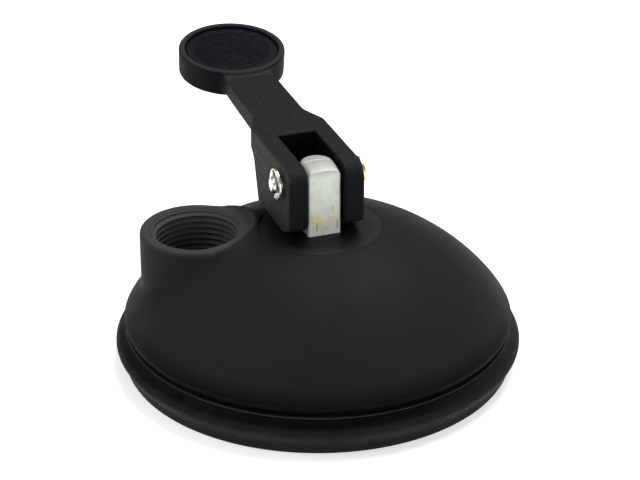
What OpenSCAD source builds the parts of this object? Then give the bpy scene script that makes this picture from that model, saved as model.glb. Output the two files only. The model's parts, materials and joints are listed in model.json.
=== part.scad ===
// Lever-locked vacuum suction cup with a threaded port in its cover.
// Z is up and Z = 0 is the surface that the cup holds to. The origin is on the cup's axis.
// The pivot pin lies along X, the lever points along +Y, and it is drawn locked.

/* [Cover] */
// Largest radius of the dome cover
cover_r = 57.4; // [54:0.1:75]
// Height of the cover's widest place
cover_low_z = 14.8; // [14:0.1:17]
// Height of the flat plateau that the cams press on
plateau_z = 42.5; // [40:0.5:55]
// Radius of the plateau
plateau_r = 19.2; // [18:0.1:21]
// Wall thickness of the dome
cover_wall = 3.2; // [2:0.1:4]
// How far the bottom rim lies inside the widest place
rim_inset = 0.5; // [0.2:0.1:1.5]
// Outer radius of the hub that holds the guide bush
hub_r = 13; // [12.5:0.1:14]
// Height of the hub's lower end
hub_low_z = 26; // [25:0.5:28]

/* [Port] */
// Thread's major diameter
thread_d = 25.4; // [20:0.1:26]
// Thread pitch
thread_pitch = 1.814; // [1:0.001:2.5]
// Depth of the thread's profile
thread_depth = 0.9; // [0.5:0.05:1.2]
// Number of thread turns
thread_turns = 11; // [6:1:11]
// Wall of the port boss outside the thread
port_wall = 3.8; // [2.5:0.1:4]
// Height of the port's mouth
port_top_z = 41.2; // [38:0.1:44]
// Distance from the port's axis in to the cover's widest place
port_inset = 21.5; // [20:0.1:22]
// Direction of the port seen from above, from +X
port_angle = 157; // [120:1:240]
// Thickness of the port's closed floor
port_floor = 3; // [2:0.1:3]

/* [Suction pad] */
// How far the rubber flange stands out past the cover
pad_overhang = 2.6; // [1:0.1:6]
// Height where the flange is widest
pad_wide_z = 7.2; // [5:0.1:9]
// Height of the face that the cover's rim rests on
pad_top_z = 10.8; // [10.5:0.1:12]
// How far the sealing lip lies inside the flange
lip_inset = 3; // [1:0.1:6]
// Width of the flat sealing lip
lip_w = 6; // [3:0.5:10]
// Height of the hollow under the pad's middle
pad_hollow = 3.5; // [2:0.1:4]

/* [Backing plate] */
// How far the plate's edge lies inside the cover's widest place
plate_inset = 17.4; // [15:0.1:25]
// Height of the plate's underside
plate_z = 10; // [9.9:0.1:10.2]
// Plate thickness
plate_t = 2.5; // [1.5:0.1:2.5]

/* [Pull post] */
// Width of the post, across the fork
post_w = 10; // [8:0.1:11]
// Depth of the post, from its flat front to its round back
post_d = 12; // [11.5:0.1:13]
// Height of the post above the pin's axis
post_above_pin = 5.5; // [3.5:0.1:6.5]
// How far the round shank lies inside the blade's flat sides
shank_inset = 0.2; // [0.1:0.1:1]
// How far the threaded tail lies inside the shank
tail_step = 0.9; // [0.5:0.1:1.2]
// Height where the blade becomes the round shank
blade_low_z = 30; // [29.5:0.5:32]

/* [Lever] */
// Radius of the pivot pin
pin_r = 2.5; // [2:0.1:3]
// Height of the pin's axis above the plateau
pin_above_plateau = 15.5; // [14.5:0.1:18]
// How far the post drops when the lever is raised
lift = 3; // [1:0.1:3]
// Width of the fork
fork_w = 23; // [21:0.1:30]
// Distance from the pin's axis to the fork's front face
fork_front = 8.2; // [7.5:0.1:8.4]
// Distance from the pin's axis up to the fork's top
fork_above = 6.3; // [5.5:0.1:9]
// Distance from the pin's axis to the fork's back, at its underside
fork_back_low = 20.8; // [20.4:0.1:23]
// Distance from the pin's axis to the fork's back, at its top
fork_back_top = 27.6; // [25:0.1:32]
// Distance from the pin's axis to the slot's back wall
slot_back = 19; // [14:0.1:20]
// Gap at each side of the post in the fork
slot_gap = 0.6; // [0.3:0.1:1]
// Width of the arm where it leaves the fork
arm_w = 16.2; // [12:0.1:20]
// Width of the arm where it meets the thumb pad
arm_tip_w = 15; // [10:0.1:18]
// Thickness of the arm
arm_t = 6.6; // [4:0.1:7]
// Distance from the pin's axis to the thumb pad's middle
thumb_reach = 80.6; // [62:0.1:110]
// Radius of the thumb pad
thumb_r = 16.8; // [14:0.1:20]
// Thickness of the thumb pad
thumb_t = 8.5; // [8:0.1:10]
// Upward tilt of the thumb pad
thumb_tilt = 6; // [0:0.5:8]
// Height of the thumb pad's middle above the fork's top
thumb_rise = 3.2; // [2:0.1:5]
// Width of the thumb pad's raised rim
thumb_rim = 2.4; // [1.5:0.1:3]

/* [Spring and small parts] */
// Wire diameter of the return spring
spring_wire = 1.6; // [1:0.1:1.8]
// Number of turns of the return spring
spring_turns = 3.5; // [2.5:0.5:4]
// Outer radius of the clips that hold the pin
clip_r = 4.7; // [4:0.1:5.5]
// Thickness of the clips
clip_t = 0.8; // [0.5:0.05:1]
// Gap between the fork's sides and the clips
clip_gap = 0.9; // [0.1:0.1:1.2]

/* [Hidden] */

$fn = 96;
cut = 1;                // how far a cutting shape runs past what it cuts
free_gap = 0.3;         // clearance between pieces that pass each other
pin_gap = 0.05;         // running clearance round the pin and in pressed seats
wear_t = 1.2;           // thickness of the wear plate
wear_edge = 0.6;        // rim of the cover left round the wear plate
mouth_flare = 0.15;     // how far the port's mouth opens past the thread's roots
bush_wall = 2.2;        // wall of the guide bush past the post's corners
seat_t = 1.4;           // thickness of the spring's two seats
seat_edge = 0.8;        // how far those seats stand out past the spring
spring_gap = 1.2;       // gap between the shank and the spring
nut_t = 3.2;            // thickness of the nut under the backing plate
nut_af = 13;            // size of that nut across its flats
pocket_gap = 0.6;       // gap round that nut in the rubber
pad_step = 2;           // room from the backing plate, and from the wall, to the pad's two steps
mouth_t = 1.1;          // height of the lead-in at the port's mouth
run_out = 1.5;          // plain bore under the last thread turn
dome_a = 0.89;          // exponents of the dome's outline
dome_b = 1.68;
pin_nose = 1.2;         // length of the pin past each clip
groove_depth = 0.6;     // depth of the pin's grooves for the clips
fork_top_r = 5;         // radius of the fork's upper front edge
cam_turn = 44;          // degrees of turn that the fork's curved nose covers
shoulder = 8;           // length over which the fork narrows to the arm
arm_drop = 2.6;         // how far the arm's top ends below the thumb pad's face
arm_lift = 0.8;         // how far the arm's underside ends above the thumb pad's
grip_t = 1;             // thickness of the grip disc, with its ribs
grip_sunk = 0.7;        // how far the ribs stay below the thumb pad's rim
grip_border = 2.2;      // plain border of the grip disc round its ribs
rib_h = 0.35;           // height, spacing and number of the grip disc's ribs
rib_pitch = 1.5;
rib_count = 16;
prong_ratio = 0.24;     // radius of the clips' notches, as a share of the clips' own
mouth_ratio = 0.86;     // width of the clips' open side, as a share of their hole
turn_left = 35;         // degrees that each clip is turned on the pin
turn_right = -60;

pad_r = cover_r + pad_overhang;
rim_r = cover_r - rim_inset;
pin_z = plateau_z + pin_above_plateau;
thread_r = thread_d / 2;
bore_r = thread_r - thread_depth;
port_r = thread_r + port_wall;
port_reach = cover_r - port_inset;
port_depth = mouth_t + thread_turns * thread_pitch + run_out;
port_floor_z = port_top_z - port_depth;
wear_r = plateau_r - wear_edge;
wear_z = plateau_z - wear_t;
blade_half_d = post_d / 2;
shank_r = post_w / 2 - shank_inset;
tail_r = shank_r - tail_step;
blade_reach = norm([post_w / 2, blade_half_d]);
bush_r = blade_reach + bush_wall;
slot_half = post_w / 2 + slot_gap;
cam_rate = lift / (PI / 2);                  // millimetres of lift for each radian
cam_max = pin_above_plateau - free_gap;      // distance from the pin's axis down to the fork's underside
groove_x = fork_w / 2 + clip_gap;            // inner side of each clip
pin_end_x = groove_x + clip_t + pin_nose;
spring_top_z = hub_low_z - seat_t;
spring_low_z = plate_z + plate_t + seat_t;
spring_r = shank_r + spring_gap + spring_wire / 2;
seat_r = spring_r + spring_wire / 2 + seat_edge;
nut_r = nut_af / 2 / cos(30);
thumb_top = fork_above + thumb_rise;
thumb_grip_r = thumb_r - thumb_rim;
recess_t = grip_t + grip_sunk;

// The dome's outline rises from (r, low_z) and passes through (flat_r, flat_z).
function dome_t(r, flat_r) = acos(pow(flat_r / r, 1 / dome_a));
function dome_rise(r, low_z, flat_r, flat_z) = (flat_z - low_z) / pow(sin(dome_t(r, flat_r)), dome_b);
function dome_point(r, low_z, rise, t) = [r * pow(cos(t), dome_a), low_z + rise * pow(sin(t), dome_b)];
function dome_line(r, low_z, rise, t_end, steps) =
    [for (i = [0:steps]) dome_point(r, low_z, rise, t_end * i / steps)];
function arc(x, y, r, a0, a1, steps) =
    [for (i = [0:steps]) let (a = a0 + (a1 - a0) * i / steps) [x + r * cos(a), y + r * sin(a)]];

outer_rise = dome_rise(cover_r, cover_low_z, plateau_r, plateau_z);
outer_end = dome_t(cover_r, plateau_r);

module dome_solid() {
    rotate_extrude()
        polygon(concat([[0, pad_top_z], [rim_r, pad_top_z]],
            dome_line(cover_r, cover_low_z, outer_rise, outer_end, 20),
            [[0, plateau_z]]));
}

// The hollow follows the dome one wall inside it, and stops flat under the plateau.
module dome_hollow() {
    inner = dome_line(cover_r - cover_wall, cover_low_z, outer_rise - cover_wall, 89, 20);
    roof_z = wear_z - cover_wall;
    rotate_extrude()
        polygon(concat([[0, pad_top_z - cut], [rim_r - cover_wall, pad_top_z - cut]],
            [for (p = inner) [p[0], min(p[1], roof_z)]],
            [[0, roof_z]]));
}

module at_port() {
    rotate([0, 0, port_angle]) translate([port_reach, 0, 0]) rotate([0, 0, -port_angle]) children();
}

// Ring grooves at the thread's pitch stand for its helix.
module port_bore() {
    thread_top = port_top_z - mouth_t;
    groove = [[bore_r, 0.1], [thread_r, 0.45], [thread_r, 0.55], [bore_r, 0.9]];
    grooves = [for (i = [0:thread_turns - 1], p = groove) [p[0], thread_top - (i + p[1]) * thread_pitch]];
    rotate_extrude()
        polygon(concat([[0, port_top_z + cut], [thread_r + mouth_flare, port_top_z + cut],
            [thread_r + mouth_flare, port_top_z], [bore_r, thread_top]],
            grooves, [[bore_r, port_floor_z], [0, port_floor_z]]));
}

// A flat-fronted blade with a round back; the front faces -Y.
module blade_outline(grow) {
    w = post_w / 2 + grow;
    back_r = post_w / 2;
    union() {
        translate([-w, -blade_half_d - grow]) square([2 * w, post_d - back_r + grow]);
        translate([0, blade_half_d - back_r]) circle(r = back_r + grow);
    }
}

module cover() {
    color([0.18, 0.19, 0.19])
    difference() {
        union() {
            difference() {
                dome_solid();
                dome_hollow();
            }
            translate([0, 0, hub_low_z]) cylinder(r = hub_r, h = wear_z - hub_low_z);
            at_port() translate([0, 0, port_floor_z - port_floor])
                cylinder(r = port_r, h = port_top_z - port_floor_z + port_floor);
        }
        at_port() port_bore();
        translate([0, 0, wear_z]) cylinder(r = wear_r + pin_gap, h = wear_t + cut);
        translate([0, 0, hub_low_z - cut]) cylinder(r = bush_r + pin_gap, h = wear_z - hub_low_z + 2 * cut);
    }
}

module cam_wear_plate() {
    color([0.05, 0.05, 0.05])
    translate([0, 0, wear_z]) linear_extrude(wear_t) difference() {
        circle(r = wear_r);
        blade_outline(free_gap);
    }
}

module guide_bush() {
    color([0.75, 0.72, 0.62])
    translate([0, 0, hub_low_z]) linear_extrude(wear_z - hub_low_z) difference() {
        circle(r = bush_r);
        blade_outline(free_gap);
    }
}

module suction_pad() {
    lip_r = pad_r - lip_inset;
    hollow_r = lip_r - lip_w;
    plate_r = cover_r - plate_inset;
    pocket_r = nut_r + pocket_gap;
    pocket_z = plate_z - nut_t - pocket_gap;
    color([0.13, 0.14, 0.14])
    rotate_extrude()
        polygon(concat([for (i = [0:10]) let (s = i / 10) [hollow_r * s, pad_hollow * (1 - s * s)]],
            [[lip_r, 0], [pad_r, pad_wide_z], [rim_r + free_gap, pad_top_z],
             [rim_r - cover_wall - pad_step, pad_top_z], [plate_r + pad_step, plate_z],
             [pocket_r, plate_z], [pocket_r, pocket_z], [0, pocket_z]]));
}

module spring_washer() {
    color([0.75, 0.75, 0.72])
    translate([0, 0, spring_top_z]) difference() {
        cylinder(r = seat_r, h = seat_t);
        translate([0, 0, -cut]) cylinder(r = shank_r + free_gap, h = seat_t + 2 * cut);
    }
}

module return_spring() {
    sides = 8;
    steps = 24;
    rings = round(spring_turns * steps);
    low = spring_low_z + spring_wire / 2;
    travel = spring_top_z - spring_low_z - spring_wire;
    points = [for (i = [0:rings], j = [0:sides - 1])
        let (a = 360 * i / steps, b = 360 * j / sides, r = spring_r + spring_wire / 2 * cos(b))
        [r * cos(a), r * sin(a), low + travel * i / rings + spring_wire / 2 * sin(b)]];
    walls = [for (i = [0:rings - 1], j = [0:sides - 1]) let (k = (j + 1) % sides)
        [i * sides + j, i * sides + k, (i + 1) * sides + k, (i + 1) * sides + j]];
    start = [for (j = [sides - 1:-1:0]) j];
    end = [for (j = [0:sides - 1]) rings * sides + j];
    color([0.7, 0.7, 0.68])
    polyhedron(points, concat([start], walls, [end]));
}

module pull_post() {
    color([0.78, 0.78, 0.68])
    difference() {
        union() {
            translate([0, 0, blade_low_z]) linear_extrude(pin_z + post_above_pin - blade_low_z)
                blade_outline(0);
            translate([0, 0, plate_z + plate_t]) cylinder(r = shank_r, h = blade_low_z - plate_z - plate_t);
            translate([0, 0, plate_z - nut_t]) cylinder(r = tail_r, h = plate_t + nut_t);
        }
        translate([-post_w, 0, pin_z]) rotate([0, 90, 0]) cylinder(r = pin_r + pin_gap, h = 2 * post_w);
    }
}

module spring_seat() {
    color([0.75, 0.75, 0.72])
    translate([0, 0, plate_z + plate_t]) difference() {
        cylinder(r = seat_r, h = seat_t);
        translate([0, 0, -cut]) cylinder(r = shank_r + pin_gap, h = seat_t + 2 * cut);
    }
}

module backing_plate() {
    color([0.6, 0.6, 0.6])
    translate([0, 0, plate_z]) difference() {
        cylinder(r = cover_r - plate_inset, h = plate_t);
        translate([0, 0, -cut]) cylinder(r = tail_r + pin_gap, h = plate_t + 2 * cut);
    }
}

module post_nut() {
    color([0.75, 0.75, 0.72])
    translate([0, 0, plate_z - nut_t]) difference() {
        cylinder(r = nut_r, h = nut_t, $fn = 6);
        translate([0, 0, -cut]) cylinder(r = tail_r + pin_gap, h = nut_t + 2 * cut);
    }
}

// Moves its children to the thumb pad's tilted top face, with the pin's axis as the origin.
module at_thumb() {
    translate([0, thumb_reach, thumb_top]) rotate([thumb_tilt, 0, 0]) children();
}

// Turns a Y-Z outline into a block that is w wide, centred on X.
module side_block(w) {
    translate([-w / 2, 0, 0]) rotate([90, 0, 90]) linear_extrude(w) children();
}

// The fork's nose is a cam. It holds the pin above the plateau, less by the same amount for each degree of turn.
function nose_point(t) = let (p = cam_max - cam_rate * t * PI / 180)
    [max(-fork_front, cam_rate * cos(t) - p * sin(t)), -p * cos(t) - cam_rate * sin(t)];

module lever_side() {
    arm_low = fork_above - arm_t;
    back_slope = (fork_back_top - fork_back_low) / (fork_above + cam_max);
    polygon(concat(
        [for (i = [10:-1:0]) nose_point(cam_turn * i / 10)],
        [[fork_back_low, -cam_max],
         [fork_back_low + back_slope * (arm_low + cam_max), arm_low],
         [thumb_reach, thumb_top - thumb_t + arm_lift],
         [thumb_reach, thumb_top - arm_drop],
         [fork_back_top, fork_above]],
        arc(fork_top_r - fork_front, fork_above - fork_top_r, fork_top_r, 90, 180, 6)));
}

module lever_plan() {
    side = [[fork_w / 2, -fork_front - cut], [fork_w / 2, fork_back_top],
            [arm_w / 2, fork_back_top + shoulder], [arm_tip_w / 2, thumb_reach]];
    polygon(concat(side, [for (i = [3:-1:0]) [-side[i][0], side[i][1]]]));
}

module lever() {
    color([0.16, 0.18, 0.18])
    translate([0, 0, pin_z]) difference() {
        union() {
            intersection() {
                side_block(fork_w) lever_side();
                translate([0, 0, -cam_max - cut])
                    linear_extrude(cam_max + thumb_top + 2 * cut) lever_plan();
            }
            at_thumb() translate([0, 0, -thumb_t]) cylinder(r = thumb_r, h = thumb_t);
        }
        at_thumb() translate([0, 0, -recess_t]) cylinder(r = thumb_grip_r + free_gap, h = recess_t + cut);
        translate([-slot_half, -fork_front - cut, -pin_above_plateau - cut])
            cube([2 * slot_half, fork_front + slot_back + cut, pin_above_plateau + fork_above + 2 * cut]);
        translate([-fork_w, 0, 0]) rotate([0, 90, 0]) cylinder(r = pin_r + pin_gap, h = 2 * fork_w);
    }
}

module thumb_grip() {
    rib_span = rib_pitch * (rib_count - 1) / 2;
    color([0.11, 0.12, 0.13])
    translate([0, 0, pin_z]) at_thumb() translate([0, 0, -recess_t]) {
        cylinder(r = thumb_grip_r, h = grip_t - rib_h);
        intersection() {
            cylinder(r = thumb_grip_r - grip_border, h = grip_t);
            for (i = [0:rib_count - 1])
                translate([-thumb_grip_r, i * rib_pitch - rib_span - rib_pitch / 4, 0])
                    cube([2 * thumb_grip_r, rib_pitch / 2, grip_t]);
        }
    }
}

module pivot_pin() {
    groove_r = pin_r - groove_depth;
    color([0.82, 0.82, 0.8])
    translate([0, 0, pin_z]) rotate([0, 90, 0]) difference() {
        translate([0, 0, -pin_end_x]) cylinder(r = pin_r, h = 2 * pin_end_x);
        for (s = [-1, 1]) translate([0, 0, s * (groove_x + clip_t / 2)]) difference() {
            cylinder(r = pin_r + cut, h = clip_t + pin_gap, center = true);
            cylinder(r = groove_r, h = clip_t + cut, center = true);
        }
    }
}

// An E-shaped clip, open towards its own -Y, with two notches that leave three prongs.
module e_clip(open_angle) {
    hole_r = pin_r - groove_depth + pin_gap;
    notch_r = clip_r * prong_ratio;
    notch_at = hole_r + notch_r * 0.7;
    rotate([0, 90, 0]) linear_extrude(clip_t, center = true) rotate(open_angle) difference() {
        circle(r = clip_r);
        circle(r = hole_r);
        translate([-hole_r * mouth_ratio, -clip_r - cut]) square([2 * hole_r * mouth_ratio, clip_r + cut]);
        for (a = [40, 140]) rotate(a) translate([notch_at, 0]) circle(r = notch_r);
    }
}

module e_clip_left() {
    color([0.85, 0.85, 0.82])
    translate([-groove_x - clip_t / 2, 0, pin_z]) e_clip(turn_left);
}

module e_clip_right() {
    color([0.82, 0.7, 0.4])
    translate([groove_x + clip_t / 2, 0, pin_z]) e_clip(turn_right);
}

cover();
cam_wear_plate();
guide_bush();
suction_pad();
spring_washer();
return_spring();
pull_post();
spring_seat();
backing_plate();
post_nut();
lever();
thumb_grip();
pivot_pin();
e_clip_left();
e_clip_right();
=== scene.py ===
"""Lever-locked vacuum suction cup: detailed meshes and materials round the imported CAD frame.

Lengths in this file are metres unless a name ends in _mm. Moulded and cast pieces are made from
signed distances in millimetres, so that their edges are round and their joints are filleted.
"""
import json
import math

import bpy
import numpy as np
import openvdb
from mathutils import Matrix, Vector


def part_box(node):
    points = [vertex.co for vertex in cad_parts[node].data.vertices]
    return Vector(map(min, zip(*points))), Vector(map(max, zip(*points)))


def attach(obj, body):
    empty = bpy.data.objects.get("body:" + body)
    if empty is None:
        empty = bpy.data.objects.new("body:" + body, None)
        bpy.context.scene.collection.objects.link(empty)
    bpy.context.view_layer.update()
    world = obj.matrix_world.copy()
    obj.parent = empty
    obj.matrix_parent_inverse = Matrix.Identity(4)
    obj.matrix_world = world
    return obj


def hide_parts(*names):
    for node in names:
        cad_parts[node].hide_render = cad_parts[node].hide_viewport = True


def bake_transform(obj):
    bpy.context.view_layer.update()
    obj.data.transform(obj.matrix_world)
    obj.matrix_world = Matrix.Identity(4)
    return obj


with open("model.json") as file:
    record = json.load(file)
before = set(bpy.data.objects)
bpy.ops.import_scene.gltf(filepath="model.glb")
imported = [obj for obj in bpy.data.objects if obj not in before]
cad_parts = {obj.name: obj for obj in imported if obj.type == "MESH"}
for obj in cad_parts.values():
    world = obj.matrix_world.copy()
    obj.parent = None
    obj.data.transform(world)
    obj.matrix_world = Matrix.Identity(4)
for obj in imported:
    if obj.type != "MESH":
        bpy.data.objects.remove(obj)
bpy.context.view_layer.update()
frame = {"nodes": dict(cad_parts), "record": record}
nodes = frame["nodes"]
MM = 0.001

# ---------------------------------------------------------------- sizes taken from the frame, in mm


def box_mm(node):
    """The two corners of a node's box."""
    lo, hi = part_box(node)
    return np.array(lo) / MM, np.array(hi) / MM


cover_lo, cover_hi = box_mm("cover")
pad_hi = box_mm("suction_pad")[1]
wear_lo, wear_hi = box_mm("cam_wear_plate")
post_lo, post_hi = box_mm("pull_post")
plate_hi = box_mm("backing_plate")[1]
lever_lo, lever_hi = box_mm("lever")
pin_lo, pin_hi = box_mm("pivot_pin")
spring_lo, spring_hi = box_mm("return_spring")
clip_boxes = {side: box_mm("e_clip_" + side) for side in ("left", "right")}
port = [m for m in frame["record"]["mounts"] if m["name"] == "antenna_port"][0]

PIN_Z = (pin_lo[2] + pin_hi[2]) / 2
PIN_R = pin_hi[1]
COVER_R = cover_hi[0]
COVER_BASE_Z = cover_lo[2]
PLATEAU_Z = wear_hi[2]
WEAR_EDGE = 0.6
PLATEAU_R = wear_hi[0] + WEAR_EDGE
DOME_LOW_Z = 14.8
DOME_A, DOME_B = 0.89, 1.68
DOME_END = math.degrees(math.acos((PLATEAU_R / COVER_R) ** (1 / DOME_A)))
DOME_RISE = (PLATEAU_Z - DOME_LOW_Z) / math.sin(math.radians(DOME_END)) ** DOME_B
RIM_JOIN_Z = 13.4
RIM_JOIN_R = COVER_R - 0.28
WALL = 3.2
PORT_X, PORT_Y = port["pos_m"][0] / MM, port["pos_m"][1] / MM
PORT_MINOR_R = port["dims"]["r_mm"]
PORT_THREAD_DEPTH = 0.9
PORT_MAJOR_R = PORT_MINOR_R + PORT_THREAD_DEPTH
PORT_R = 16.5
PORT_TOP_Z = 41.2
PORT_PITCH = 1.814
PORT_DEPTH = 22.55
PIN_HOLE_R = PIN_R + 0.05
PAD_PROUD = 0.08
PAD_R = pad_hi[0] + PAD_PROUD
FORK_HALF = 11.5
FORK_FRONT = -lever_lo[1]
THUMB_REACH, THUMB_R, THUMB_T, THUMB_TILT, THUMB_RIM = 80.6, 16.8, 8.5, math.radians(6), 2.4
FORK_ABOVE = 6.3
BACK_LOW, BACK_TOP, SLOT_BACK, SLOT_HALF = 20.8, 27.6, 19.0, 5.6
ARM_HALF, ARM_TIP_HALF, ARM_T, ARM_DROP, ARM_LIFT = 8.1, 7.5, 6.6, 2.6, 0.8
THUMB_TOP = FORK_ABOVE + 3.2
RECESS_FLOOR = -1.7
CAM_LIFT = 3.0
CAM_RATE = CAM_LIFT / (math.pi / 2)
CAM_MAX = 15.2
CAM_TURN = 44

# ---------------------------------------------------------------- signed distance helpers, in mm


def smooth_min(a, b, k):
    """The union of two shapes, with a fillet of about k where they meet."""
    h = np.clip(0.5 + 0.5 * (b - a) / k, 0, 1)
    return b + (a - b) * h - k * h * (1 - h)


def smooth_max(a, b, k):
    """The overlap of two shapes, with its edges rounded by about k."""
    return -smooth_min(-a, -b, k)


def slab(v, low, high):
    """The space between two parallel planes."""
    return np.maximum(low - v, v - high)


def rounded_box(x, y, z, centre, half, r):
    """A box of half sizes half, with all its edges rounded by r."""
    q = [np.abs(v - c) - (h - r) for v, c, h in zip((x, y, z), centre, half)]
    outside = np.sqrt(sum(np.maximum(v, 0) ** 2 for v in q))
    return outside + np.minimum(np.maximum(np.maximum(q[0], q[1]), q[2]), 0) - r


def rounded_drum(r, z, radius, low, high, edge):
    """A cylinder whose two rims have the radius edge; r and z are the point's own."""
    a = r - (radius - edge)
    b = np.abs(z - (low + high) / 2) - ((high - low) / 2 - edge)
    return np.sqrt(np.maximum(a, 0) ** 2 + np.maximum(b, 0) ** 2) + np.minimum(np.maximum(a, b), 0) - edge


def polygon_distance(points, x, y):
    """Signed distance from (x, y) to a closed outline, negative inside it."""
    best = np.full(np.shape(x), 1e9)
    inside = np.zeros(np.shape(x), bool)
    for (ax, ay), (bx, by) in zip(points, points[1:] + points[:1]):
        ex, ey = bx - ax, by - ay
        px, py = x - ax, y - ay
        t = np.clip((px * ex + py * ey) / (ex * ex + ey * ey), 0, 1)
        best = np.minimum(best, (px - ex * t) ** 2 + (py - ey * t) ** 2)
        crosses = (ay > y) != (by > y)
        if by != ay:
            inside ^= crosses & (x < ax + (y - ay) * ex / (by - ay))
    return np.where(inside, -1, 1) * np.sqrt(best)


def profile_table(points, low, high, step):
    """A lookup of polygon_distance on a fine grid, which makes a long outline quick to read."""
    u = np.arange(low[0], high[0] + step, step)
    v = np.arange(low[1], high[1] + step, step)
    grid = polygon_distance(points, *np.meshgrid(u, v, indexing="ij"))

    def read(x, y):
        i = np.clip((x - low[0]) / step, 0, len(u) - 1.001)
        j = np.clip((y - low[1]) / step, 0, len(v) - 1.001)
        i0, j0 = i.astype(int), j.astype(int)
        fi, fj = i - i0, j - j0
        near = grid[i0, j0] * (1 - fj) + grid[i0, j0 + 1] * fj
        far = grid[i0 + 1, j0] * (1 - fj) + grid[i0 + 1, j0 + 1] * fj
        return near * (1 - fi) + far * fi

    return read


def eased(t):
    """Runs from 0 to 1 with t, a little slower near both ends."""
    share = 0.35
    return t * t * (3 - 2 * t) * share + t * (1 - share)


def arc_points(cx, cy, r, start, end, steps):
    """Points along an arc between two angles in degrees."""
    angles = np.radians(np.linspace(start, end, steps + 1))
    return [(cx + r * math.cos(a), cy + r * math.sin(a)) for a in angles]


# ---------------------------------------------------------------- mesh helpers


def new_object(name, verts_mm, faces):
    """A smooth-shaded mesh object in the scene, from vertices in millimetres."""
    mesh = bpy.data.meshes.new(name)
    mesh.from_pydata((np.asarray(verts_mm) * MM).tolist(), [], faces)
    mesh.update()
    obj = bpy.data.objects.new(name, mesh)
    bpy.context.scene.collection.objects.link(obj)
    mesh.shade_smooth()
    return obj


def solid(name, distance, low, high, step):
    """Meshes distance(x, y, z) < 0 inside the box low..high, then moves each vertex onto the surface."""
    low, high = np.array(low, float) - 2 * step, np.array(high, float) + 2 * step
    axes = [np.arange(a, b + step, step) for a, b in zip(low, high)]
    values = np.empty([len(a) for a in axes], np.float32)
    for i, x in enumerate(axes[0]):
        y, z = np.meshgrid(axes[1], axes[2], indexing="ij")
        values[i] = distance(np.full_like(y, x), y, z)
    grid = openvdb.FloatGrid(3 * step)
    grid.copyFromArray(np.clip(values, -3 * step, 3 * step))
    points, quads = grid.convertToQuads(isovalue=0.0)
    points = points.astype(float) * step + low
    h = step * 0.2
    for _ in range(3):
        x, y, z = points.T
        value = distance(x, y, z)
        slope = np.stack([
            distance(x + h, y, z) - distance(x - h, y, z),
            distance(x, y + h, z) - distance(x, y - h, z),
            distance(x, y, z + h) - distance(x, y, z - h)], 1) / (2 * h)
        size = np.maximum((slope ** 2).sum(1), 0.2)
        move = slope * (value / size)[:, None]
        points -= np.clip(move, -0.5 * step, 0.5 * step)
    obj = new_object(name, points, quads[:, ::-1].tolist())
    # The normals come from the distances, so the shading shows no grid.
    normals = slope / np.maximum(np.linalg.norm(slope, axis=1, keepdims=True), 1e-9)
    mesh = obj.data
    side = np.einsum("ij,ij->i", np.array([v.normal[:] for v in mesh.vertices]), normals)
    if side.mean() < 0:
        mesh.flip_normals()
    mesh.normals_split_custom_set_from_vertices(normals.tolist())
    return obj


def revolve(name, outline_mm, segments):
    """Turns a closed (r, z) outline about Z. Points with r = 0 become single vertices."""
    verts, rings = [], []
    for r, z in outline_mm:
        if r < 1e-6:
            rings.append([len(verts)] * segments)
            verts.append((0, 0, z))
            continue
        rings.append(list(range(len(verts), len(verts) + segments)))
        for k in range(segments):
            a = 2 * math.pi * k / segments
            verts.append((r * math.cos(a), r * math.sin(a), z))
    faces = []
    for i in range(len(rings)):
        low, high = rings[i], rings[(i + 1) % len(rings)]
        for k in range(segments):
            n = (k + 1) % segments
            face = []
            for v in (low[k], low[n], high[n], high[k]):
                if v not in face:
                    face.append(v)
            if len(face) > 2:
                faces.append(face)
    return new_object(name, verts, faces)


def rounded(points, r, steps=4):
    """Rounds each corner of a closed outline. A point may carry its own radius as a third number."""
    out = []
    n = len(points)
    for i, p in enumerate(points):
        radius = p[2] if len(p) > 2 else r
        before, here, after = (np.array(points[j % n][:2], float) for j in (i - 1, i, i + 1))
        a, b = before - here, after - here
        la, lb = np.linalg.norm(a), np.linalg.norm(b)
        a, b = a / la, b / lb
        half = math.acos(np.clip(a @ b, -1, 1)) / 2
        if radius <= 0 or half > math.radians(89.5):
            out.append(tuple(here))
            continue
        cut = min(radius / math.tan(half), 0.45 * la, 0.45 * lb)
        radius = cut * math.tan(half)
        p0, p1 = here + a * cut, here + b * cut
        middle = here + (a + b) / np.linalg.norm(a + b) * radius / math.sin(half)
        for k in range(steps + 1):
            w = k / steps
            v = p0 * (1 - w) + p1 * w - middle
            out.append(tuple(middle + v / np.linalg.norm(v) * radius))
    return out


def finish_piece(obj, body, material, slot, *cad_nodes):
    """Gives a piece its material and its body, and hides the CAD nodes that it replaces. The slot is not
    used.
    """
    obj.data.materials.clear()
    obj.data.materials.append(material)
    if body:
        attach(obj, body)
    if cad_nodes:
        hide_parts(*cad_nodes)
    return obj


def merged(name, objects):
    """Joins several meshes into one object."""
    bpy.ops.object.select_all(action="DESELECT")
    for o in objects:
        o.select_set(True)
    bpy.context.view_layer.objects.active = objects[0]
    bpy.ops.object.join()
    objects[0].name = name
    return objects[0]


# ---------------------------------------------------------------- materials


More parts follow.
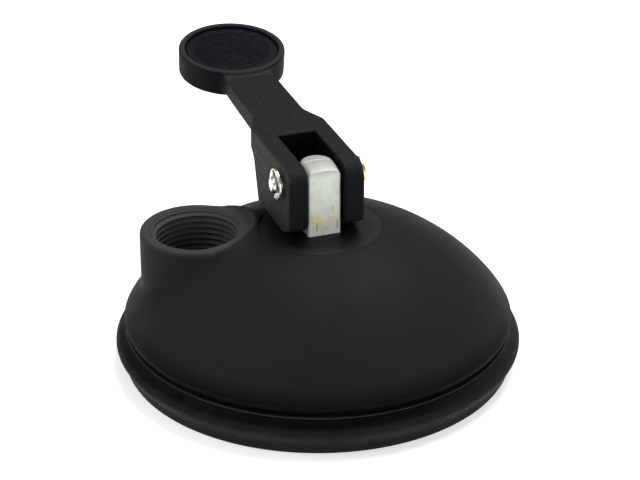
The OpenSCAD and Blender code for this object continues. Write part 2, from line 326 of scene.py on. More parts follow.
class Nodes:
    """A new material with a Principled shader, and short calls that add what feeds it."""

    def __init__(self, name, colour, roughness, metallic=0.0, specular=0.5):
        self.material = bpy.data.materials.new(name)
        self.material.use_nodes = True
        self.tree = self.material.node_tree
        self.shader = self.tree.nodes["Principled BSDF"]
        self.shader.inputs["Base Color"].default_value = (*colour, 1)
        self.shader.inputs["Roughness"].default_value = roughness
        self.shader.inputs["Metallic"].default_value = metallic
        self.shader.inputs["Specular IOR Level"].default_value = specular
        self.place = self.tree.nodes.new("ShaderNodeTexCoord").outputs["Object"]
        self.height = None

    def add(self, kind, **values):
        """A new node; each value sets its property or, if it has none of that name, its input."""
        node = self.tree.nodes.new(kind)
        for key, value in values.items():
            if hasattr(node, key):
                setattr(node, key, value)
            else:
                node.inputs[key.replace("_", " ").title()].default_value = value
        return node

    def link(self, source, target):
        self.tree.links.new(source, target)

    def noise(self, size_mm, detail=3.0, stretch=(1, 1, 1), roughness=0.55):
        """A cloudy value from 0 to 1 whose spots are about size_mm across."""
        scaled = self.add("ShaderNodeMapping")
        scaled.inputs["Scale"].default_value = stretch
        self.link(self.place, scaled.inputs["Vector"])
        noise = self.add("ShaderNodeTexNoise", scale=1000 / size_mm, detail=detail)
        noise.inputs["Roughness"].default_value = roughness
        self.link(scaled.outputs[0], noise.inputs["Vector"])
        return noise.outputs["Fac"]

    def ranged(self, source, low, high, out_low, out_high):
        """Maps low..high of the source to out_low..out_high, and holds it there outside that range."""
        node = self.add("ShaderNodeMapRange")
        for name, value in zip(("From Min", "From Max", "To Min", "To Max"), (low, high, out_low, out_high)):
            node.inputs[name].default_value = value
        self.link(source, node.inputs["Value"])
        return node.outputs["Result"]

    def rising(self, source, low_mm, high_mm, amount=1.0):
        """A mask that grows from 0 at low_mm to amount at high_mm."""
        return self.ranged(source, low_mm * MM, high_mm * MM, 0, amount)

    def falling(self, source, low_mm, high_mm, amount=1.0):
        """A mask that drops from amount at low_mm to 0 at high_mm."""
        return self.ranged(source, low_mm * MM, high_mm * MM, amount, 0)

    def tint(self, factor, colour):
        """Mixes the base colour towards another where factor is 1."""
        socket = self.shader.inputs["Base Color"]
        mix = self.tree.nodes.new("ShaderNodeMix")
        mix.data_type = "RGBA"
        old = socket.links[0].from_socket if socket.is_linked else None
        if old:
            self.link(old, mix.inputs["A"])
        else:
            mix.inputs["A"].default_value = socket.default_value[:]
        mix.inputs["B"].default_value = (*colour, 1)
        self.link(factor, mix.inputs["Factor"])
        self.link(mix.outputs["Result"], socket)

    def axis_value(self, axis):
        """The point's own x, y or z, in metres."""
        split = self.add("ShaderNodeSeparateXYZ")
        self.link(self.place, split.inputs[0])
        return split.outputs[axis]

    def maths(self, operation, a, b=0.0):
        """A sum of two values, each of them a number or a socket."""
        node = self.add("ShaderNodeMath", operation=operation)
        for socket, value in zip(node.inputs, (a, b)):
            if isinstance(value, float):
                socket.default_value = value
            else:
                self.link(value, socket)
        return node.outputs[0]

    def reach(self, x_mm, y_mm):
        """Distance from an upright axis, in metres."""
        flat = self.add("ShaderNodeVectorMath", operation="MULTIPLY")
        self.link(self.place, flat.inputs[0])
        flat.inputs[1].default_value = (1, 1, 0)
        away = self.add("ShaderNodeVectorMath", operation="DISTANCE")
        self.link(flat.outputs[0], away.inputs[0])
        away.inputs[1].default_value = (x_mm * MM, y_mm * MM, 0)
        return away.outputs["Value"]

    def both(self, a, b):
        """Where two masks meet."""
        return self.maths("MULTIPLY", a, b)

    def rough(self, factor, low, high):
        """Lets the roughness run between low and high."""
        self.link(self.ranged(factor, 0.3, 0.7, low, high), self.shader.inputs["Roughness"])

    def bump(self, source, depth_mm):
        """Adds a height, in millimetres, to the surface's bump."""
        node = self.add("ShaderNodeBump", strength=1.0)
        node.inputs["Distance"].default_value = depth_mm * MM
        self.link(source, node.inputs["Height"])
        if self.height:
            self.link(self.height, node.inputs["Normal"])
        self.height = node.outputs["Normal"]
        self.link(self.height, self.shader.inputs["Normal"])


def cover_plastic():
    """Satin black plastic of the dome."""
    m = Nodes("cover_satin_black", (0.0098, 0.0108, 0.0105), 0.62, specular=0.07)
    cloud = m.noise(26, detail=2)
    m.tint(m.ranged(cloud, 0.35, 0.65, 0, 0.45), (0.0125, 0.0136, 0.0132))
    m.rough(m.noise(9, detail=4), 0.57, 0.66)
    # The rolled-in edge is painted dark as shade, and its thin lip is painted pale as a highlight.
    z = m.axis_value("Z")
    m.tint(m.falling(z, 15.0, 19.5), (0.0004, 0.0005, 0.0005))
    m.tint(m.falling(z, 11.4, 11.6, 0.7), (0.034, 0.036, 0.036))
    # The port's mouth rim is painted pale as a highlight, and its thread is painted pale as light against
    # the bore's shade.
    reach = m.reach(PORT_X, PORT_Y)
    high = m.rising(z, PORT_TOP_Z - 2.2, PORT_TOP_Z - 0.3)
    m.tint(m.both(m.falling(reach, PORT_R - 0.7, PORT_R + 1.5, 0.95), high), (0.046, 0.048, 0.050))
    m.tint(m.falling(reach, PORT_MAJOR_R + 0.1, PORT_MAJOR_R + 0.9, 0.9), (0.066, 0.070, 0.070))
    m.bump(m.noise(0.55, detail=2), 0.010)
    m.bump(m.noise(14, detail=1), 0.05)
    return m.material


def lever_plastic():
    """Black plastic with a leathery grain, which the fork, the arm and the thumb pad share."""
    m = Nodes("lever_grained_black", (0.0075, 0.0086, 0.0092), 0.66, specular=0.09)
    grain = m.noise(0.7, detail=3, roughness=0.65)
    m.tint(m.ranged(grain, 0.50, 0.66, 0, 0.9), (0.0180, 0.0205, 0.0210))
    # Sharp edges are painted paler, partly as edge wear and partly as a painted highlight.
    edge = m.add("ShaderNodeNewGeometry").outputs["Pointiness"]
    m.tint(m.ranged(edge, 0.52, 0.58, 0, 0.6), (0.038, 0.041, 0.042))
    m.rough(m.noise(1.1, detail=3), 0.58, 0.72)
    # The fork's sides are painted pale as lit faces, and its front and its slot are painted dark as shade.
    across = m.maths("ABSOLUTE", m.axis_value("X"))
    along = m.axis_value("Y")
    side = m.both(m.rising(across, FORK_HALF - 0.7, FORK_HALF - 0.1), m.falling(along, 30, 40))
    m.tint(m.both(side, m.ranged(grain, 0.42, 0.58, 0.35, 1)), (0.036, 0.039, 0.039))
    slot_side = m.falling(across, SLOT_HALF + 0.2, SLOT_HALF + 0.7, 0.95)
    slot = m.both(slot_side, m.falling(along, SLOT_BACK, SLOT_BACK + 0.4))
    m.tint(slot, (0.0008, 0.0009, 0.0010))
    m.tint(m.falling(along, 0.4 - FORK_FRONT, 1.2 - FORK_FRONT, 0.8), (0.0030, 0.0034, 0.0038))
    # The thumb pad's side is painted dark as shade too, and its upward-facing rim is painted pale as a
    # highlight.
    split = m.add("ShaderNodeSeparateXYZ")
    m.link(m.tree.nodes["Texture Coordinate"].outputs["Normal"], split.inputs[0])
    upward = split.outputs["Z"]
    pad_start = THUMB_REACH - THUMB_R
    pad = m.rising(along, pad_start - 2.3, pad_start - 0.3)
    m.tint(m.both(m.ranged(upward, 0.2, 0.6, 0.95, 0), pad), (0.0008, 0.0011, 0.0020))
    m.tint(m.both(m.ranged(upward, 0.55, 0.85, 0, 0.8), pad), (0.0230, 0.0240, 0.0255))
    m.bump(grain, 0.06)
    return m.material


def wear_plastic():
    """Smooth black plastic of the wear disc, darker than the cover partly by its own colour and partly as
    painted shade, a little paler towards its edge.
    """
    m = Nodes("wear_face_black", (0.0030, 0.0032, 0.0032), 0.50, specular=0.14)
    m.tint(m.ranged(m.noise(5), 0.4, 0.7, 0, 0.5), (0.0042, 0.0045, 0.0044))
    m.rough(m.noise(3), 0.46, 0.56)
    # Towards the edge the disc fades to the cover's colour, so its painted shade ends softly.
    m.tint(m.rising(m.reach(0, 0), 14.2, 18.0), (0.0100, 0.0110, 0.0107))
    m.bump(m.noise(0.5), 0.006)
    return m.material


def pad_rubber():
    """Matt black rubber with small pale specks."""
    m = Nodes("pad_rubber_black", (0.0066, 0.0072, 0.0072), 0.70, specular=0.08)
    m.tint(m.ranged(m.noise(18, detail=3), 0.35, 0.65, 0, 0.5), (0.0090, 0.0097, 0.0096))
    specks = m.noise(0.42, detail=1)
    m.tint(m.ranged(specks, 0.62, 0.74, 0, 0.65), (0.042, 0.044, 0.044))
    # The sloped shelf under the cover's edge is painted dark as the cover's shade, darker than the side
    # below it, less so on the right.
    shelf = m.both(m.falling(m.reach(0, 0), 58.6, 59.6), m.rising(m.axis_value("Z"), 7.0, 7.8))
    leftward = m.ranged(m.axis_value("X"), 10 * MM, 35 * MM, 1, 0.25)
    m.tint(m.both(shelf, leftward), (0.0006, 0.0007, 0.0007))
    m.rough(m.noise(4, detail=4), 0.55, 0.72)
    m.bump(m.noise(0.6, detail=3), 0.016)
    return m.material


def grip_rubber():
    """Bluish black rubber of the ribbed thumb disc."""
    m = Nodes("grip_rubber_black", (0.0036, 0.0050, 0.0066), 0.62, specular=0.06)
    m.tint(m.ranged(m.noise(2.5), 0.4, 0.7, 0, 0.6), (0.0090, 0.0108, 0.0130))
    m.bump(m.noise(0.35, detail=2), 0.01)
    return m.material


def steel(name, colour, shade, brushed=(1, 1, 1), rough=(0.26, 0.42)):
    """Bare or plated steel in two cloudy tones; brushed stretches its fine streaks along an axis."""
    m = Nodes(name, colour, 0.35, metallic=1.0)
    m.tint(m.ranged(m.noise(5, detail=4), 0.38, 0.62, 0, 1), shade)
    streaks = m.noise(0.5, detail=3, stretch=brushed)
    m.rough(streaks, *rough)
    m.bump(streaks, 0.012)
    m.bump(m.noise(2.2, detail=3), 0.02)
    return m.material


def post_zinc():
    """Dull, pale zinc plating, yellower in a cloudy band above the plateau, with painted shade on the crown
    and painted light at its foot.
    """
    m = Nodes("post_yellow_zinc", (0.70, 0.74, 0.67), 0.45, metallic=0.25, specular=0.4)
    m.tint(m.ranged(m.noise(3.5, detail=4), 0.42, 0.62, 0, 0.8), (0.60, 0.63, 0.56))
    z = m.axis_value("Z")
    band = m.both(m.rising(z, PLATEAU_Z + 2, PLATEAU_Z + 4), m.falling(z, PLATEAU_Z + 6, PLATEAU_Z + 9))
    cloudy = m.ranged(m.noise(2.6, detail=3), 0.40, 0.56, 0, 0.75)
    m.tint(m.both(band, cloudy), (0.72, 0.66, 0.30))
    # The crown is painted darker as shade.
    m.tint(m.rising(z, 60.6, 62.8, 0.9), (0.34, 0.36, 0.33))
    # The foot by the plateau is painted pale as light.
    m.tint(m.falling(z, PLATEAU_Z + 0.3, PLATEAU_Z + 2), (0.90, 0.92, 0.90))
    scuffs = m.noise(0.7, detail=4, stretch=(1, 1, 0.25))
    m.tint(m.ranged(scuffs, 0.62, 0.70, 0, 0.5), (0.30, 0.32, 0.28))
    # Two short scribed marks stand upright near the foot of the flat front.
    front = m.falling(m.axis_value("Y"), -5.8, -5.6)
    x = m.axis_value("X")
    mark_low, mark_high = PLATEAU_Z + 1.3, PLATEAU_Z + 4.2
    height = m.both(m.rising(z, mark_low, mark_low + 0.3), m.falling(z, mark_high - 0.3, mark_high))
    for mark_x in (-2.4, 3.9):
        away = m.maths("ABSOLUTE", m.maths("SUBTRACT", x, mark_x * MM))
        mark = m.both(m.falling(away, 0.08, 0.22, 0.8), height)
        m.tint(m.both(mark, front), (0.10, 0.10, 0.09))
    m.rough(scuffs, 0.40, 0.55)
    m.bump(scuffs, 0.012)
    return m.material


def spring_wire():
    """Bright drawn wire."""
    m = Nodes("spring_bright_wire", (0.55, 0.55, 0.56), 0.3, metallic=1.0)
    m.tint(m.ranged(m.noise(3), 0.4, 0.65, 0, 0.6), (0.42, 0.42, 0.44))
    m.rough(m.noise(0.6), 0.24, 0.4)
    return m.material


def acetal():
    """Off-white bearing plastic."""
    m = Nodes("bush_natural_acetal", (0.60, 0.58, 0.50), 0.4)
    m.tint(m.ranged(m.noise(4), 0.4, 0.7, 0, 0.5), (0.52, 0.50, 0.42))
    m.rough(m.noise(2), 0.34, 0.48)
    return m.material


def floor_paint():
    """A white floor that glows a little, so that it stays white round the cup with only a faint shadow."""
    m = Nodes("floor_white", (0.80, 0.80, 0.80), 0.9, specular=0.0)
    m.shader.inputs["Emission Color"].default_value = (1, 1, 1, 1)
    m.shader.inputs["Emission Strength"].default_value = 0.55
    return m.material


COVER = cover_plastic()
LEVER = lever_plastic()
WEAR = wear_plastic()
RUBBER = pad_rubber()
GRIP = grip_rubber()
POST = post_zinc()
PLATED = steel("plated_steel", (0.60, 0.61, 0.60), (0.48, 0.49, 0.48))
PIN = steel("pin_ground_steel", (0.70, 0.70, 0.68), (0.56, 0.56, 0.54), (0.1, 1, 1), (0.16, 0.28))
CLIP = steel("clip_nickel", (0.72, 0.71, 0.66), (0.58, 0.56, 0.50), rough=(0.18, 0.32))
CLIP_GOLD = steel("clip_yellow_zinc", (0.75, 0.58, 0.26), (0.62, 0.42, 0.14), rough=(0.2, 0.34))
WIRE = spring_wire()
ACETAL = acetal()

# ---------------------------------------------------------------- cover


def dome_line(radius, rise, end, steps):
    """The dome's own curve as (r, z), from its lower edge up to the angle end."""
    angles = np.radians(np.linspace(0, end, steps + 1))
    return [(radius * math.cos(a) ** DOME_A, DOME_LOW_Z + rise * math.sin(a) ** DOME_B) for a in angles]


def cover_rim():
    """The cover's rolled-in bottom edge with its thin lip, up to just past where the dome takes over."""
    lip_r = COVER_R - 0.45
    base = COVER_BASE_Z
    under_skin = 0.015
    crown = [(r - under_skin, z) for r, z in dome_line(COVER_R, DOME_RISE, 8, 3)]
    lip = [(lip_r - 0.9, base), (lip_r - 0.05, base + 0.2, 0.12), (lip_r + 0.1, base + 0.4, 0.15),
           (lip_r - 0.05, base + 0.62, 0.12)]
    undercut = [(lip_r - 1.25, base + 0.85, 0.2), (lip_r - 1.35, base + 1.25, 0.4),
                (lip_r - 0.35, base + 2.1, 1.2)]
    inside = [(COVER_R - WALL, crown[-1][1]), (COVER_R - WALL, DOME_LOW_Z), (COVER_R - WALL - 0.4, base)]
    outline = [*lip, *undercut, (RIM_JOIN_R - under_skin, RIM_JOIN_Z, 2.0), *crown, *inside]
    piece = revolve("cover_rim", rounded(outline, 0.0, 4), 288)
    return finish_piece(piece, "cover", COVER, "cover_black")


def cover_piece():
    """Dome, filleted port boss, hub and hollow, from just above the rolled-in edge."""
    outside = [(0, RIM_JOIN_Z), (RIM_JOIN_R, RIM_JOIN_Z)] + dome_line(COVER_R, DOME_RISE, 89.5, 60)
    outside += [(0, DOME_LOW_Z + DOME_RISE)]
    roof = wear_lo[2] - WALL
    inner = [(r, min(z, roof)) for r, z in dome_line(COVER_R - WALL, DOME_RISE - WALL, 88, 24)]
    hollow = [(0, COVER_BASE_Z - 6), (COVER_R - WALL - 0.4, COVER_BASE_Z - 6)] + inner + [(0, roof)]
    outer_at = profile_table(outside, (-1, 5), (64, 50), 0.2)
    hollow_at = profile_table(hollow, (-1, 0), (64, 50), 0.5)
    bore_r = PORT_MAJOR_R + 0.15
    floor_z = PORT_TOP_Z - PORT_DEPTH
    floor_t = 3
    hub_r, hub_low, hub_bore_r = 13, 26, 10.2
    rim_edge, mouth_edge, bore_edge = 1.2, 2.2, 1.8
    fillet, fillet_inward, fillet_low = 1.2, 6.5, 10.5
    boss_fall = 18
    out_x, out_y = PORT_X / math.hypot(PORT_X, PORT_Y), PORT_Y / math.hypot(PORT_X, PORT_Y)
    seat_r = wear_hi[0] - 1.2

    def distance(x, y, z):
        r = np.hypot(x, y)
        rho = np.hypot(x - PORT_X, y - PORT_Y)
        outward = ((x - PORT_X) * out_x + (y - PORT_Y) * out_y) / np.maximum(rho, 1.0)
        boss = rounded_drum(rho, z, PORT_R, floor_z - floor_t, PORT_TOP_Z, rim_edge)
        # The boss meets the dome in a fillet that widens inward and downward.
        low = np.clip(PORT_TOP_Z - 3 - z, 0, boss_fall) / boss_fall
        inward = np.clip(0.55 - outward, 0, 1)
        blend = fillet + inward * (fillet_inward + fillet_low * low)
        crown = smooth_max(outer_at(r, z), z - PLATEAU_Z + 0.02, 0.5)
        outer = smooth_min(crown, boss, blend)
        shell = np.maximum(outer, -hollow_at(r, z))
        boss_core = np.maximum(rho - PORT_R, slab(z, floor_z - floor_t, 30))
        hub = np.maximum(r - hub_r, slab(z, hub_low, wear_lo[2]))
        body = np.minimum(np.minimum(shell, boss_core), hub)
        body = smooth_max(body, -np.maximum(rho - PORT_R + 0.4, PORT_TOP_Z - z), mouth_edge)
        body = smooth_max(body, -np.maximum(rho - bore_r, floor_z - z), bore_edge)
        body = np.maximum(body, -np.maximum(r - seat_r, wear_lo[2] - z))
        return np.maximum(np.maximum(body, hub_bore_r - r), RIM_JOIN_Z - z)

    step = 0.68
    reach = 59
    piece = solid("cover_shell", distance, (-reach, -reach, RIM_JOIN_Z), (reach, reach, 43.5), step)
    return finish_piece(piece, "cover", COVER, "cover_black", "cover")


def port_thread():
    """The helical thread inside the port, as a liner whose outer wall is inside the cover's."""
    around, levels = 96, 200
    top = PORT_TOP_Z - 1.1
    low = PORT_TOP_Z - PORT_DEPTH + 0.05
    root_r, outer_r = PORT_MAJOR_R + 0.12, PORT_MAJOR_R + 0.6
    run_in, run_out = 1.6, 1.8
    flat = 0.12
    verts = []
    for i in range(levels + 1):
        z = top + (low - top) * i / levels
        fade_in = min(1, (top - z) / run_in)
        fade_out = min(1, (z - low) / run_out)
        for k in range(around):
            phase = ((top - z) / PORT_PITCH - k / around) % 1.0
            slope = 1 - abs(2 * phase - 1)
            ridge = eased(np.clip((slope - flat) / (1 - 2 * flat), 0, 1))
            r = root_r - (root_r - PORT_MINOR_R) * ridge * fade_in * fade_out
            a = 2 * math.pi * k / around
            verts.append((PORT_X + r * math.cos(a), PORT_Y + r * math.sin(a), z))
    base = len(verts)
    for z in (low, top):
        for k in range(around):
            a = 2 * math.pi * k / around
            verts.append((PORT_X + outer_r * math.cos(a), PORT_Y + outer_r * math.sin(a), z))
    faces = []
    for i in range(levels):
        for k in range(around):
            n = (k + 1) % around
            faces.append((i * around + k, i * around + n, (i + 1) * around + n, (i + 1) * around + k))
    last = levels * around
    for k in range(around):
        n = (k + 1) % around
        faces.append((last + k, last + n, base + n, base + k))
        faces.append((base + k, base + n, base + around + n, base + around + k))
        faces.append((base + around + k, base + around + n, n, k))
    piece = new_object("port_thread", verts, faces)
    return finish_piece(piece, "cover", COVER, "cover_black")


def wear_piece():
    """The flat disc that the cam presses on, with a hole of the post's own shape."""
    sides = 360
    gap = 0.3
    half_w, front = post_hi[0] + gap, -post_lo[1] + gap
    back_y = post_hi[1] - post_hi[0]
    verts = []
    for k in range(sides):
        c, s = math.cos(math.radians(k)), math.sin(math.radians(k))
        straight = min(half_w / max(abs(c), 1e-6), front / max(-s, 1e-6))
        round_back = back_y * s + math.sqrt(half_w ** 2 - (back_y * c) ** 2)
        hole = round_back if round_back * s > back_y else straight
        edge = wear_hi[0]
        for r, z in ((hole, wear_hi[2]), (edge, wear_hi[2]), (edge, wear_lo[2]), (hole, wear_lo[2])):
            verts.append((r * c, r * s, z))
    faces = []
    for k in range(sides):
        n = (k + 1) % sides
        for j in range(4):
            i = (j + 1) % 4
            faces.append((4 * k + j, 4 * k + i, 4 * n + i, 4 * n + j))
    piece = new_object("cam_wear_disc", verts, faces)
    piece.data.shade_flat()
    return finish_piece(piece, "cover", WEAR, "wear_black", "cam_wear_plate")


# ---------------------------------------------------------------- suction pad


def pad_flange():
    """The pad's outer ring, which stays with the cover's rim."""
    lip_r, inner_r = PAD_R - 3.0, 48.5
    top_z = pad_hi[2]
    under = [(inner_r, 0.22, 0.2), (52.2, 0.0, 0.6), (lip_r, 0.0, 0.9)]
    side = [(lip_r + 0.5, 0.9, 0.3), (lip_r + 0.9, 3.2, 4), (PAD_R - 0.55, 5.6, 2), (PAD_R, 6.6, 0.5),
            (PAD_R, 7.5, 0.7), (PAD_R - 0.8, 8.6, 0.8)]
    top = [(COVER_R - 0.1, top_z - 0.5, 0.6), (COVER_R - 0.45, top_z, 0.2), (50.5, top_z, 0.3),
           (inner_r, top_z - 0.6, 0.3)]
    piece = revolve("pad_flange", rounded(under + side + top, 0.4, 5), 256)
    return finish_piece(piece, "cover", RUBBER, "rubber_black", "suction_pad")


def pad_web():
    """The pad's thin middle, arched up where the post pulls on it."""
    edge_r, edge_z, crown = 49.3, 0.12, 3.4
    grooves, groove_half, groove_depth = (24.0, 36.0), 0.8, 0.35
    radii = set(edge_r * np.linspace(0, 1, 26))
    radii |= {g + d for g in grooves for d in (-1.2, -0.6, 0, 0.6, 1.2)}
    under = []
    for r in sorted(radii):
        dip = sum(math.exp(-((r - g) / groove_half) ** 2) for g in grooves)
        under.append((r, edge_z + crown * (1 - (r / edge_r) ** 2) + groove_depth * dip))
    top = [(edge_r, 9.6), (43.0, 9.8), (8.4, 9.8), (8.4, 6.0), (0, 6.0)]
    piece = revolve("pad_web", under + top, 192)
    finish_piece(piece, None, RUBBER, "rubber_black", "suction_pad")
    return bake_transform(piece)


# ---------------------------------------------------------------- post, spring and pin


def post_piece():
    """The post: a blade with a flat front and a round back and top, a round shank and a thinner plain tail.
    """
    half_w, front, back = post_hi[0], post_lo[1], post_hi[1]
    back_y = back - half_w
    top, blade_z, foot, tail_z = post_hi[2], 30.0, plate_hi[2], post_lo[2]
    shank_r, tail_r = 4.8, 3.9
    side_edge, top_edge, crowning = 0.7, 1.5, 0.024

    def distance(x, y, z):
        middle_y, half_d = (front + back_y) / 2 + 2, (back_y - front) / 2 + 2
        box = rounded_box(x, y, 0 * z, (0, middle_y, 0), (half_w, half_d, 9), side_edge)
        straight = np.maximum(box, y - back_y)
        outline = np.minimum(straight, np.maximum(np.hypot(x, y - back_y) - half_w, back_y - y - 1))
        crown = top - (x * x + (y - 0.6) ** 2) * crowning
        blade = smooth_max(outline, np.maximum(z - crown, blade_z - z), top_edge)
        shank = np.maximum(np.hypot(x, y) - shank_r, slab(z, foot, blade_z + 0.5))
        tail = np.maximum(np.hypot(x, y) - tail_r, slab(z, tail_z, foot + 0.5))
        body = np.minimum(np.minimum(blade, shank), tail)
        return np.maximum(body, PIN_HOLE_R - np.hypot(y, z - PIN_Z))

    high = (post_hi[0], post_hi[1], top + 0.2)
    piece = solid("pull_post_body", distance, (post_lo[0], post_lo[1], tail_z), high, 0.35)
    return finish_piece(piece, "post", POST, "post_zinc", "pull_post")


def spring_piece():
    """A coil spring whose end turns lie flat on its seats."""
    wire = 0.8
    middle_r = spring_hi[0] - wire
    turns, steps, sides = 3.5, 40, 12
    low, high = spring_lo[2] + wire, spring_hi[2] - wire
    rings = int(turns * steps)
    flat_share = 0.11
    verts, faces = [], []
    for i in range(rings + 1):
        s = i / rings
        lift = eased(np.clip((s - flat_share) / (1 - 2 * flat_share), 0, 1))
        a = 2 * math.pi * turns * s
        for j in range(sides):
            b = 2 * math.pi * j / sides
            r = middle_r + wire * math.cos(b)
            verts.append((r * math.cos(a), r * math.sin(a), low + (high - low) * lift + wire * math.sin(b)))
    for i in range(rings):
        for j in range(sides):
            k = (j + 1) % sides
            faces.append((i * sides + j, (i + 1) * sides + j, (i + 1) * sides + k, i * sides + k))
    faces.append(list(range(sides)))
    faces.append([rings * sides + j for j in range(sides - 1, -1, -1)])
    piece = new_object("return_coil", verts, faces)
    finish_piece(piece, None, WIRE, "spring_steel", "return_spring")
    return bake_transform(piece)


def turned_about_x(obj):
    """Lays a piece that was revolved about Z along X, at the height of the pin."""
    co = np.array([v.co[:] for v in obj.data.vertices])
    co = np.stack([co[:, 2], co[:, 0], co[:, 1] + PIN_Z * MM], 1)
    obj.data.vertices.foreach_set("co", co.ravel())
    obj.data.update()
    return obj


def pin_piece():
    """The pin, with a chamfered end and a groove for its clip on each side."""
    end, neck = pin_hi[0], PIN_R - 0.6
    inner, outer = clip_boxes["right"][0][0], clip_boxes["right"][1][0]
    half = [(0, end), (PIN_R - 0.9, end, 0.3), (PIN_R - 0.45, end - 0.12, 0.3), (PIN_R, end - 0.6, 0.25),
            (PIN_R, outer + 0.02, 0.1), (neck, outer + 0.02, 0.1),
            (neck, inner - 0.02, 0.1), (PIN_R, inner - 0.02, 0.1)]
    outline = half + [(p[0], -p[1], *p[2:]) for p in reversed(half)]
    piece = turned_about_x(revolve("pivot_pin_body", rounded(outline, 0.0, 3), 64))
    return finish_piece(piece, "lever", PIN, "pin_steel", "pivot_pin")


def clip_piece(side, open_angle, material, slot):
    """A flat clip with an open mouth, which open_angle turns about the pin, and two notches in its bore."""
    lo, hi = clip_boxes[side]
    middle_x, half_t = (lo[0] + hi[0]) / 2, (hi[0] - lo[0]) / 2
    hole_r = PIN_R - 0.55
    radius = (hi[1] - lo[1]) / 2
    mouth_half = hole_r * 0.86
    notch_r = radius * 0.27
    away = hole_r + notch_r * 0.75
    turn = math.radians(open_angle)

    def distance(x, y, z):
        v, w = y, z - PIN_Z
        v, w = v * math.cos(turn) + w * math.sin(turn), -v * math.sin(turn) + w * math.cos(turn)
        rho = np.hypot(v, w)
        body = np.maximum(rho - radius, hole_r - rho)
        body = smooth_max(body, -np.maximum(np.abs(v) - mouth_half, w), 0.25)
        for a in (40, 140):
            c = math.radians(a)
            body = smooth_max(body, notch_r - np.hypot(v - away * math.cos(c), w - away * math.sin(c)), 0.25)
        return smooth_max(body, np.abs(x - middle_x) - half_t, 0.3)

    piece = solid("e_clip_" + side + "_body", distance, lo, hi, 0.16)
    return finish_piece(piece, "lever", material, slot, "e_clip_" + side)


# ---------------------------------------------------------------- lever


def thumb_coordinates(y, z):
    """(y, z) about the pin's axis, seen from the middle of the thumb pad's tilted top face."""
    v, w = y - THUMB_REACH, z - THUMB_TOP
    c, s = math.cos(THUMB_TILT), math.sin(THUMB_TILT)
    return v * c + w * s, -v * s + w * c


def lever_piece():
    """Fork, arm and thumb pad in one piece, from its side view, its plan and the pad's disc."""
    arm_low = FORK_ABOVE - ARM_T
    back_at_arm = BACK_LOW + (BACK_TOP - BACK_LOW) * (arm_low + CAM_MAX) / (FORK_ABOVE + CAM_MAX)
    # The fork's nose is a cam: it comes nearer the pin by the same amount for each degree of turn.
    side = []
    for t in np.radians(np.linspace(CAM_TURN, 0, 15)):
        low = CAM_MAX - CAM_RATE * t
        across, down = CAM_RATE * math.cos(t) - low * math.sin(t), low * math.cos(t) + CAM_RATE * math.sin(t)
        side.append((max(-FORK_FRONT, across), -down))
    under = [(4, -CAM_MAX), (BACK_LOW, -CAM_MAX, 1.2), (back_at_arm, arm_low, 5.0),
             (THUMB_REACH, THUMB_TOP - THUMB_T + ARM_LIFT)]
    over = [(THUMB_REACH, THUMB_TOP - ARM_DROP), (BACK_TOP + 6, FORK_ABOVE - 0.3, 20), (0, FORK_ABOVE)]
    side += rounded(under + over, 0.0, 6)
    nose_r = 5.5
    side += arc_points(nose_r - FORK_FRONT, FORK_ABOVE - nose_r, nose_r, 90, 180, 8)
    side_at = profile_table([tuple(p) for p in side], (-16, -20), (104, 16), 0.2)
    half = [(FORK_HALF, -FORK_FRONT - 4), (FORK_HALF, BACK_TOP - 0.5, 4.5), (ARM_HALF, BACK_TOP + 8, 7),
            (ARM_TIP_HALF, THUMB_REACH)]
    plan = rounded([*half, *[(-p[0], *p[1:]) for p in reversed(half)]], 0.0, 6)
    plan_at = profile_table(plan, (-20, -18), (20, 96), 0.2)
    grip_r = THUMB_R - THUMB_RIM + 0.3

    def distance(x, y, z):
        z = z - PIN_Z
        block = smooth_max(side_at(y, z), plan_at(x, y), 0.7)
        slot = np.maximum(np.abs(x) - SLOT_HALF, y - SLOT_BACK)
        block = smooth_max(block, -slot, 0.6)
        v, w = thumb_coordinates(y, z)
        rho = np.hypot(x, v)
        disc = rounded_drum(rho - 0.02 * w, w, THUMB_R, -THUMB_T, 0, 0.9)
        body = smooth_min(block, disc, 1.6)
        recess = rounded_drum(rho, w, grip_r, RECESS_FLOOR, 6, 0.4)
        body = smooth_max(body, -recess, 1.1)
        return smooth_max(body, PIN_HOLE_R - np.hypot(y, z), 0.4)

    step = 0.45
    piece = solid("lever_body", distance, lever_lo - 0.3, lever_hi + 0.3, step)
    return finish_piece(piece, "lever", LEVER, "lever_black", "lever")


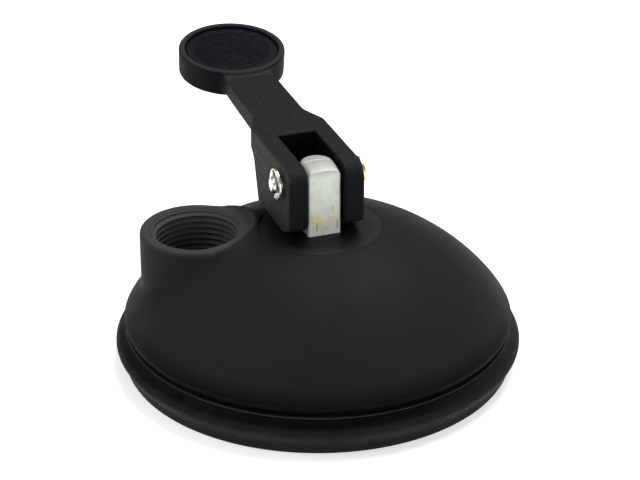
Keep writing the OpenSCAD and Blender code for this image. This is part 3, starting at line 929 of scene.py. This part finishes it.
def grip_piece():
    """The ribbed disc in the thumb pad: a thin base with half-round ribs that end on a circle."""
    base_r = THUMB_R - THUMB_RIM
    border = 2.2
    rib_circle = base_r - border
    pitch, count, rib_h, rib_half = 1.5, 16, 0.32, 0.50
    base_top = -1.05
    outline = [(0, RECESS_FLOOR), (base_r, RECESS_FLOOR, 0.15), (base_r, base_top, 0.3), (0, base_top)]
    parts = [revolve("grip_base", rounded(outline, 0.0, 3), 128)]
    verts, faces = [], []
    arch = [(rib_half * math.cos(a), rib_h * math.sin(a)) for a in np.linspace(0, math.pi, 9)]
    for i in range(count):
        y = (i - (count - 1) / 2) * pitch
        half_len = math.sqrt(max(rib_circle ** 2 - y * y, 1.0))
        stations = [(-half_len, 0.0), (-half_len + 0.15, 0.6), (-half_len + 0.5, 1.0),
                    (half_len - 0.5, 1.0), (half_len - 0.15, 0.6), (half_len, 0.0)]
        first = len(verts)
        for x, rise in stations:
            shrink = 0.55 + 0.45 * rise
            verts += [(x, y + dy * shrink, base_top - 0.05 + 0.05 * rise + dz * rise) for dy, dz in arch]
        n = len(arch)
        for s in range(len(stations) - 1):
            for j in range(n - 1):
                k = first + s * n + j
                faces.append((k, k + n, k + n + 1, k + 1))
            near, far = first + s * n, first + (s + 1) * n
            faces.append((near, near + n - 1, far + n - 1, far))
        faces.append([first + j for j in range(n)])
        faces.append([first + (len(stations) - 1) * n + j for j in range(n - 1, -1, -1)])
    parts.append(new_object("grip_ribs", verts, faces))
    piece = merged("thumb_grip_face", parts)
    c, s = math.cos(THUMB_TILT), math.sin(THUMB_TILT)
    co = np.array([v.co[:] for v in piece.data.vertices]) / MM
    v, w = co[:, 1], co[:, 2]
    co = np.stack([co[:, 0], THUMB_REACH + v * c - w * s, PIN_Z + THUMB_TOP + v * s + w * c], 1)
    piece.data.vertices.foreach_set("co", (co * MM).ravel())
    piece.data.update()
    return finish_piece(piece, "lever", GRIP, "grip_black", "thumb_grip")


cover_piece()
cover_rim()
port_thread()
wear_piece()
pad_flange()
pad_web()
post_piece()
spring_piece()
pin_piece()
clip_piece("left", 35, CLIP, "clip_bright")
clip_piece("right", -60, CLIP_GOLD, "clip_yellow")
lever_piece()
grip_piece()

for name, material in (("guide_bush", ACETAL), ("spring_washer", PLATED), ("spring_seat", PLATED),
                       ("backing_plate", PLATED), ("post_nut", PLATED)):
    nodes[name].data.materials.clear()
    nodes[name].data.materials.append(material)

# ---------------------------------------------------------------- floor, light and camera

scene = bpy.context.scene
scene.view_settings.view_transform = "Standard"
scene.view_settings.look = "None"


def floor():
    """The surface that the cup stands on."""
    mesh = bpy.data.meshes.new("floor")
    size = 6.0
    corners = [(-size, -size, 0), (size, -size, 0), (size, size, 0), (-size, size, 0)]
    mesh.from_pydata(corners, [], [(0, 1, 2, 3)])
    obj = bpy.data.objects.new("floor", mesh)
    scene.collection.objects.link(obj)
    mesh.materials.append(floor_paint())


def area_light(name, place, target, size, power):
    """A rectangular lamp, in metres and watts, turned towards its target."""
    data = bpy.data.lights.new(name, "AREA")
    data.shape = "RECTANGLE"
    data.size, data.size_y = size
    data.energy = power
    obj = bpy.data.objects.new(name, data)
    scene.collection.objects.link(obj)
    obj.location = place
    obj.rotation_euler = (Vector(target) - Vector(place)).to_track_quat("-Z", "Y").to_euler()


def lights():
    """Soft light from the left, from above and from low in front, in an evenly lit white room."""
    middle = (0, 0, 0.03)
    area_light("key_left", (-0.85, 0.10, 0.70), middle, (0.5, 0.5), 2.5)
    area_light("top_right", (0.35, 0.25, 1.0), middle, (0.6, 0.6), 9.5)
    area_light("low_front", (0.15, -1.30, 0.35), middle, (0.9, 0.5), 4)
    world = bpy.data.worlds.new("world")
    scene.world = world
    world.use_nodes = True
    world.node_tree.nodes["Background"].inputs["Color"].default_value = (1, 1, 1, 1)
    world.node_tree.nodes["Background"].inputs["Strength"].default_value = 0.42


def camera():
    """A long lens that looks down at the cup from in front, with the port on the left."""
    turn = math.radians(19.7)
    away, height, target_z = 0.6232, 0.3567, 0.03783
    data = bpy.data.cameras.new("camera")
    data.lens = 134.3
    data.sensor_width = 36
    data.shift_x = 0.0034
    data.clip_start, data.clip_end = 0.05, 20
    obj = bpy.data.objects.new("camera", data)
    scene.collection.objects.link(obj)
    obj.location = (-away * math.sin(turn), -away * math.cos(turn), height)
    obj.rotation_euler = (Vector((0, 0, target_z)) - obj.location).to_track_quat("-Z", "Y").to_euler()
    scene.camera = obj


floor()
lights()
camera()
